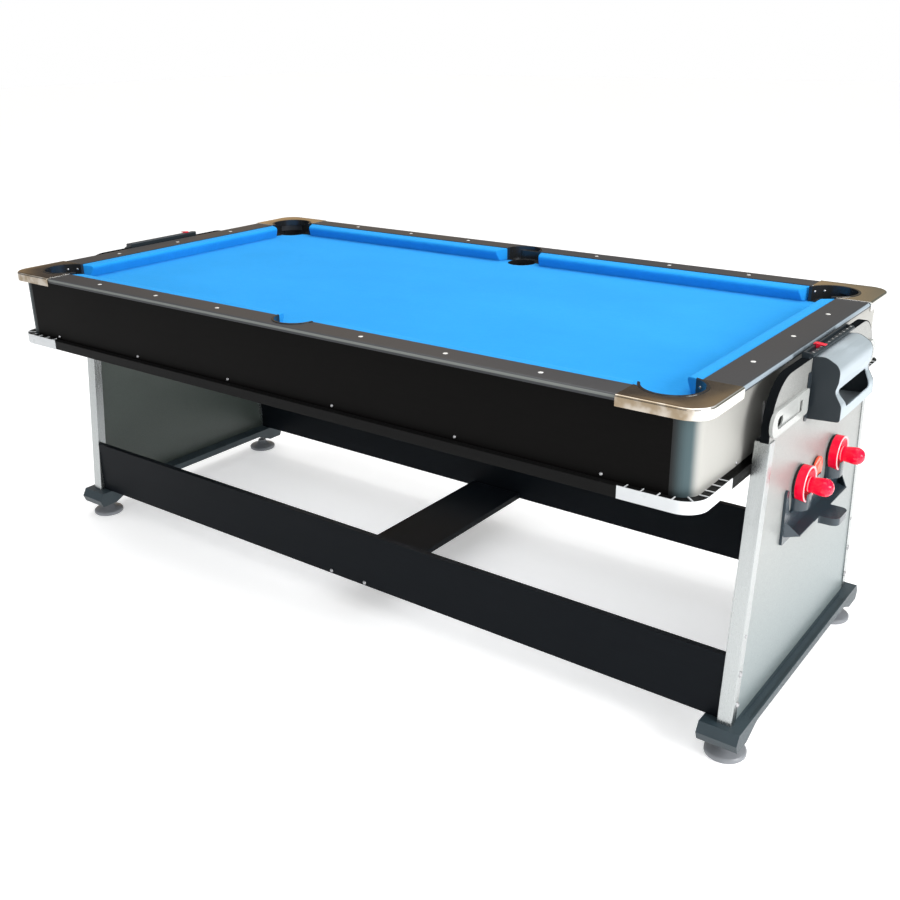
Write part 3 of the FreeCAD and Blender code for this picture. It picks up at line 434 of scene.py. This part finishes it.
def hockey_finish(name):
    """White playing surface with rows of air holes, a red centre line and blue circles."""
    m = Finish(name, (0.82, 0.84, 0.86), 0.16)
    x, y = m.axis("X"), m.axis("Y")
    step = 0.0254

    def off_grid(value):
        turns = m.math("ADD", m.math("DIVIDE", value, step), 200.5)
        return m.math("SUBTRACT", m.math("FRACT", turns), 0.5)

    u, v = off_grid(x), off_grid(y)
    near = m.math("SQRT", m.math("ADD", m.math("MULTIPLY", u, u), m.math("MULTIPLY", v, v)))
    # The air holes are not cut in the mesh: each is a near-black dot of painted shade, with a
    # bump.
    holes = m.step(near, 0.030, 0.045)
    middle = m.step(m.math("ABSOLUTE", x), 0.005, 0.0055)
    ring = m.math("SQRT", m.math("ADD", m.math("MULTIPLY", x, x), m.math("MULTIPLY", y, y)))
    ring = m.step(m.math("ABSOLUTE", m.math("SUBTRACT", ring, 0.15)), 0.004, 0.0045)
    goal = m.math("SUBTRACT", m.math("ABSOLUTE", x), 0.99)
    goal = m.math("SQRT", m.math("ADD", m.math("MULTIPLY", goal, goal),
                                 m.math("MULTIPLY", y, y)))
    goal = m.step(m.math("ABSOLUTE", m.math("SUBTRACT", goal, 0.20)), 0.004, 0.0045)
    white = m.mix(m.noise(5.0, 4.0), (0.78, 0.80, 0.82), (0.86, 0.88, 0.90))
    color = m.mix(goal, (0.02, 0.10, 0.55), white)
    color = m.mix(ring, (0.02, 0.10, 0.55), color)
    color = m.mix(middle, (0.65, 0.02, 0.03), color)
    m.set("Base Color", m.mix(holes, (0.01, 0.01, 0.01), color))
    m.bump(holes, 0.0006)
    m.set("Roughness", m.range(m.noise(30.0, 5.0), 0.10, 0.24))
    return m


def threaded(name, color):
    """Grey moulded foot on a turned stud: fine thread above the dome."""
    m = moulded(name, color, 0.34)
    thread = m.wave(210.0, "Z")
    stud = m.step(m.axis("Z"), 0.0325, 0.0335)
    m.bump(m.math("MULTIPLY", thread, stud), 0.0006)
    steel = m.mix(m.noise(200.0, 3.0), (0.40, 0.40, 0.41), (0.58, 0.58, 0.60))
    plastic = m.mix(m.noise(7.0, 4.0), shade(color, 0.8), shade(color, 1.2))
    m.set("Base Color", m.mix(stud, plastic, steel))
    m.set("Metallic", stud)
    return m


CHARCOAL = (0.030, 0.032, 0.036)
UNDERSIDE = laminate("underside_black", (0.007, 0.007, 0.007), "X", 0.45, 0.05)
# Painted highlight on the rounded outer edge of each rail: pale grey on the long rails, pale
# blue-grey on the end rails.
RAIL_LONG = edge_marked(laminate("rail_long", CHARCOAL, "X", 0.38, 0.32), CHARCOAL,
                        (0.17, 0.18, 0.17), "Y", 0.5648, 0.5678)
RAIL_END = edge_marked(laminate("rail_end", CHARCOAL, "Y", 0.38, 0.32), CHARCOAL,
                       (0.24, 0.29, 0.33), "X", 1.0635, 1.0690)

CLOTH = cloth_finish("blue_cloth", (0.014, 0.295, 0.72))

FINISHES = {
    "apron_black": laminate("apron_black", (0.0045, 0.0042, 0.0040), "X", 0.42, 0.03),
    "brushed_silver": wrapped("brushed_silver"),
    "rail_black": RAIL_LONG,
    "sight_white": gloss("sight_white", (0.82, 0.82, 0.80), 0.2),
    # The last colour is the painted reflection on the caps' long outer faces.
    "plated_cap": plated("plated_cap", (0.84, 0.82, 0.78), 0.06, (0.30, 0.235, 0.16)),
    "pocket_black": moulded("pocket_black", (0.014, 0.015, 0.016), 0.20, 0.00002, 900.0),
    "cushion_rubber": CLOTH,
    "board": timber("board", (0.42, 0.31, 0.20), "X"),
    "blue_cloth": CLOTH,
    "guard_silver": moulded("guard_silver", (0.58, 0.60, 0.61), 0.28, 0.00002),
    "hockey_surface": hockey_finish("hockey_surface"),
    "pine": timber("pine", (0.58, 0.42, 0.25), "Y"),
    "fan_black": moulded("fan_black", (0.020, 0.020, 0.022), 0.45),
    "screw_steel": plated("screw_steel", (0.42, 0.42, 0.43), 0.24),
    "steel": brushed("steel", (0.46, 0.46, 0.47), "X", 0.3),
    "panel_laminate": speckled("panel_laminate"),
    "band_black": moulded("band_black", (0.006, 0.007, 0.008), 0.6, shine=0.0),
    "stretcher_black": laminate("stretcher_black", (0.0045, 0.006, 0.008), "X", 0.36, 0.05),
    "foot_plastic": pebbled("foot_plastic", (0.022, 0.036, 0.044)),
    "box_silver": brushed("box_silver", (0.40, 0.46, 0.50), "Y", 0.38, 0.5),
    "box_black": moulded("box_black", (0.016, 0.022, 0.027), 0.34, shine=0.3),
    "marker_red": gloss("marker_red", (0.75, 0.01, 0.04), 0.2),
    "latch_silver": moulded("latch_silver", (0.34, 0.35, 0.34), 0.24, 0.00002),
    "rack_black": moulded("rack_black", (0.020, 0.032, 0.042), 0.22, 0.00003),
    "striker_red": striker_finish("striker_red"),
    "puck_orange": gloss("puck_orange", (0.92, 0.085, 0.03), 0.2),
    "trim_aluminium": brushed("trim_aluminium", (0.42, 0.44, 0.44), "Z", 0.26),
    "leveller_grey": threaded("leveller_grey", (0.20, 0.21, 0.225)),
}


def dress(obj, finish):
    obj.data.materials.clear()
    obj.data.materials.append(finish.mat)


# ---------------------------------------------------------------- frame nodes

SOFT_EDGES = {
    "long_rail": 0.0008, "end_rail": 0.0008, "stretcher": 0.0010, "foot_beam": 0.0025,
    "end_panel": 0.0005, "puck_box_skin": 0.0006, "puck_box_cheeks": 0.0006,
    "striker_holder": 0.0006, "latch_bezels": 0.0012, "latch_slide": 0.0006,
    "scorer_bar": 0.0006, "score_slider": 0.0008, "leg_trim": 0.0006,
    "corner_guards": 0.0007, "hockey_frame": 0.0010, "edge_bands": 0.0006,
    "pocket_cups": 0.0012, "side_apron": 0.0006, "end_apron": 0.0006, "cross_board": 0.001,
    "corner_caps": 0.0005, "puck": 0.0003, "rail_sights": 0.0004,
}


def soften(obj, width):
    """Weld the facets, merge flat ones and round the sharp edges."""
    weld = obj.modifiers.new("weld", "WELD")
    weld.merge_threshold = 0.00002
    flat = obj.modifiers.new("flat", "DECIMATE")
    flat.decimate_type = "DISSOLVE"
    flat.angle_limit = math.radians(0.6)
    edge = obj.modifiers.new("edge", "BEVEL")
    edge.width = width
    edge.segments = 2
    edge.limit_method = "ANGLE"
    edge.angle_limit = math.radians(38)
    edge.harden_normals = True
    edge.use_clamp_overlap = True


def dress_frame():
    """Give every CAD node its finish, and soften the edges of the hard parts."""
    slots = {s["node"]: s["material_slot"] for s in frame["record"]["subparts"]}
    for name, obj in NODES.items():
        finish = FINISHES[slots[name]]
        if name.startswith("end_rail"):
            finish = RAIL_END
        if name == "hockey_frame":
            finish = UNDERSIDE
        dress(obj, finish)
        width = [w for key, w in SOFT_EDGES.items() if name.startswith(key)]
        if width:
            layer = obj.data.attributes.get("custom_normal")
            if layer is not None:
                obj.data.attributes.remove(layer)
            obj.data.shade_smooth()
            soften(obj, width[0])


# ---------------------------------------------------------------- made pieces

def new_piece(name, verts, faces, finish, body):
    mesh = bpy.data.meshes.new(name)
    mesh.from_pydata([tuple(v) for v in verts], [], faces)
    mesh.validate()
    obj = bpy.data.objects.new(name, mesh)
    bpy.context.scene.collection.objects.link(obj)
    dress(obj, finish)
    mesh.shade_smooth()
    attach(obj, body)
    return obj


def bite(cx, cy, r, hx, hy):
    """Points of a hole's edge that lie on the sheet, clockwise seen from above."""
    count = 72
    ring = [(cx + r * math.cos(a), cy + r * math.sin(a))
            for a in (-math.tau * i / count for i in range(count))]
    inside = [abs(x) < hx and abs(y) < hy for x, y in ring]
    start = next(i for i in range(count) if inside[i] and not inside[i - 1])
    order = [(start + i) % count for i in range(count)]
    return [ring[i] for i in order if inside[i]]


def bed_cloth():
    """One layer of cloth pulled flat over the bed, cut out at the six pockets."""
    hx, hy = RAIL_X + TUCK, RAIL_Y + TUCK
    cx, cy, cr = CORNER_HOLE
    sx, sy, sr = SIDE_HOLE
    holes = [(cx, -cy, cr), (cx, cy, cr), (sx, sy, sr),
             (-cx, cy, cr), (-cx, -cy, cr), (sx, -sy, sr)]
    outline = [point for hole in holes for point in bite(*hole, hx, hy)]
    verts = [Vector((x, y, CLOTH_TOP)) for x, y in outline]
    faces = geometry.tessellate_polygon([verts])
    piece = new_piece("cloth_sheet", verts, [tuple(reversed(f)) for f in faces], CLOTH,
                      "playfield")
    for face in piece.data.polygons:
        if face.normal.z < 0:
            face.flip()
    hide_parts("bed_cloth")


# A cushion's outline: distance from the rail, height above the floor.
NOSE = [(0.0000, 0.8460), (0.0100, 0.8459), (0.0200, 0.8455), (0.0280, 0.8450),
        (0.0325, 0.8443), (0.0355, 0.8429), (0.0372, 0.8409), (0.0380, 0.8385),
        (0.0379, 0.8362), (0.0368, 0.8325), (0.0345, 0.8276), (0.0315, 0.8214),
        (0.0286, 0.8154), (0.0263, 0.8107), (0.0000, 0.8107)]


def cushion(name, start, end, place, stands_for, seed):
    """Rubber nose under folded cloth.  start and end are (at the rail, at the nose tip)."""
    length = end[0] - start[0]
    count = int(length / 0.006)
    width = len(NOSE)
    rounding = [(0.0, 0.86), (0.0006, 0.93), (0.0018, 0.98), (0.0035, 1.0)]
    stations = [(s / length, k) for s, k in rounding]
    stations += [(i / count, 1.0) for i in range(1, count)]
    stations += [(1 - s / length, k) for s, k in reversed(rounding)]
    verts, faces = [], []
    for t, shrink in stations:
        for d, z in NOSE:
            share = d / NOSE_TIP
            a = start[0] + (start[1] - start[0]) * share
            b = end[0] + (end[1] - end[0]) * share
            along = a + (b - a) * t
            gap = min(t, 1 - t) * length
            tuck = 0.0007 * math.exp(-gap / 0.012)
            ripple = noise.noise(Vector((along * 30, d * 60 + seed, z * 60)))
            fold = noise.noise(Vector((along * 260, d * 25 + seed, 3.0)))
            push = 0.00018 * ripple + tuck * fold
            depth = d * (1 - (1 - shrink) * 0.5) + (push if d > 0.03 else 0.0)
            height = NOSE_MIDDLE_Z + (z - NOSE_MIDDLE_Z) * shrink
            height += push if 0 < d and z > 0.843 else 0.0
            verts.append(place(along, min(depth, 0.0382), height))
    for i in range(len(stations) - 1):
        for j in range(width):
            k = (j + 1) % width
            faces.append((i * width + j, i * width + k, (i + 1) * width + k,
                          (i + 1) * width + j))
    faces.append(tuple(range(width - 1, -1, -1)))
    last = (len(stations) - 1) * width
    faces.append(tuple(range(last, last + width)))
    piece = new_piece(name, verts, faces, CLOTH, "playfield")
    shell = bmesh.new()
    shell.from_mesh(piece.data)
    bmesh.ops.recalc_face_normals(shell, faces=shell.faces)
    shell.to_mesh(piece.data)
    shell.free()
    piece.data.shade_smooth()
    piece.data.set_sharp_from_angle(angle=math.radians(55))
    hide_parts(stands_for)


def cushions():
    """Four long cushions between the pockets and one at each end."""
    for sx, sy in ((1, 1), (-1, 1), (1, -1), (-1, -1)):
        def long_side(along, depth, z, sx=sx, sy=sy):
            return (sx * along, sy * (RAIL_Y - depth), z)
        name = f"cushion_{'front' if sy < 0 else 'back'}_{'right' if sx > 0 else 'left'}"
        cushion(name, (0.061, 0.075), (0.893, 0.872), long_side, "cushions_long",
                2.0 * sx + 5.0 * sy)
    for sx in (1, -1):
        def short_side(along, depth, z, sx=sx):
            return (sx * (RAIL_X - depth), along, z)
        cushion(f"cushion_end_{'right' if sx > 0 else 'left'}", (-0.398, -0.380),
                (0.398, 0.380), short_side, "cushions_end", 11.0 * sx)


def turned(profile, at, axis, count=20):
    """Verts and faces of a profile (radius, height) turned about an axis through at."""
    turn = Vector((0, 0, 1)).rotation_difference(Vector(axis)).to_matrix()
    verts, faces = [], []
    for radius, height in profile:
        for i in range(count):
            a = math.tau * i / count
            local = Vector((radius * math.cos(a), radius * math.sin(a), height))
            verts.append(Vector(at) + turn @ local)
    for ring in range(len(profile) - 1):
        for i in range(count):
            j = (i + 1) % count
            faces.append((ring * count + i, ring * count + j, (ring + 1) * count + j,
                          (ring + 1) * count + i))
    faces.append(tuple(range(count - 1, -1, -1)))
    top = (len(profile) - 1) * count
    faces.append(tuple(range(top, top + count)))
    return verts, faces


def gathered(name, parts, finish, body):
    """One piece from several closed shells."""
    verts, faces = [], []
    for some_verts, some_faces in parts:
        base = len(verts)
        verts.extend(some_verts)
        faces.extend(tuple(base + i for i in face) for face in some_faces)
    return new_piece(name, verts, faces, finish, body)


def pocket_rivets():
    """Domed rivets that hold the pocket liners to the rail blocks."""
    dome = [(0.0036, -0.0008), (0.0036, 0.0002), (0.0031, 0.0010), (0.0020, 0.0016),
            (0.0006, 0.0019)]
    x, y, radius = CORNER_LINER
    parts = []
    for sx in (1, -1):
        for sy in (1, -1):
            for turn in (-105, -80, 80, 105):
                a = math.radians(45 + turn)
                out = Vector((sx * math.cos(a), sy * math.sin(a), 0))
                at = Vector((sx * x, sy * y, RIVET_Z)) + out * radius
                parts.append(turned(dome, at, -out))
    gathered("pocket_rivets", parts, FINISHES["screw_steel"], "playfield")


# Numbers drawn from seven strokes; a cell is one wide and two tall, from its low left.
STROKES = {"a": (0, 2, 1, 2), "b": (1, 1, 1, 2), "c": (1, 0, 1, 1), "d": (0, 0, 1, 0),
           "e": (0, 0, 0, 1), "f": (0, 1, 0, 2), "g": (0, 1, 1, 1)}
FIGURES = ("abcdef", "bc", "abged", "abgcd", "fgbc", "afgcd", "afgedc", "abc", "abcdefg",
           "abcdfg")


def printed(side, right0, right1, up0, up1):
    """Thin raised patch on the score bar, read from outside that end of the table."""
    crest_x, crest_z, fall = 1.088, 0.857, 9.5
    verts = []
    for lift in (-0.00004, 0.00014):
        for right, up in ((right0, up0), (right1, up0), (right1, up1), (right0, up1)):
            out = 1.1067 - up
            verts.append((side * out, side * right, crest_z - (out - crest_x) / fall + lift))
    faces = [(i, (i + 1) % 4, 4 + (i + 1) % 4, 4 + i) for i in range(4)]
    return verts, faces + [(3, 2, 1, 0), (4, 5, 6, 7)]


def score_marks():
    """Ticks and the numbers 0 to 10 along both score bars."""
    wide, tall, half, gap, foot = 0.0019, 0.0014, 0.00034, 0.0032, 0.0003
    parts = []
    for side in (1, -1):
        for number in range(11):
            middle = SCORE_STEP * (number - 5)
            parts.append(printed(side, middle - 0.0008, middle + 0.0008, 0.0036, 0.0046))
            digits = str(number)
            for place, digit in enumerate(digits):
                left = middle + (place - (len(digits) - 1) / 2) * gap - wide / 2
                for stroke in FIGURES[int(digit)]:
                    u0, v0, u1, v1 = STROKES[stroke]
                    parts.append(printed(side, left + u0 * wide - half, left + u1 * wide + half,
                                         foot + v0 * tall - half, foot + v1 * tall + half))
    gathered("score_marks", parts, FINISHES["sight_white"], "stand")


def floor():
    """Plain pale paper, faintly lit from within as in a product photograph."""
    mesh = bpy.data.meshes.new("studio_floor")
    mesh.from_pydata([(-30, -30, 0), (30, -30, 0), (30, 30, 0), (-30, 30, 0)], [],
                     [(0, 1, 2, 3)])
    obj = bpy.data.objects.new("studio_floor", mesh)
    bpy.context.scene.collection.objects.link(obj)
    paper = Finish("paper_floor", (0.92, 0.92, 0.92), 0.6)
    paper.set("Base Color", paper.mix(paper.noise(1.5, 3.0), (0.90, 0.90, 0.90),
                                      (0.94, 0.94, 0.94)))
    paper.set("Emission Color", (1.0, 1.0, 1.0))
    paper.set("Emission Strength", 0.38)
    dress(obj, paper)


# ---------------------------------------------------------------- scene

bpy.context.scene.view_settings.view_transform = "Standard"
make_camera()
make_world()
area_light("overhead", (0.2, 0.6, 4.2), (0, 0, 0.5), (5.0, 4.0), 125)
area_light("right", (4.8, -0.6, 2.3), (0.2, 0, 0.8), (2.4, 2.0), 190)
area_light("front", (2.6, -4.2, 1.8), (0.9, 0, 0.5), (2.2, 1.6), 22)
floor()
dress_frame()
bed_cloth()
cushions()
pocket_rivets()
score_marks()
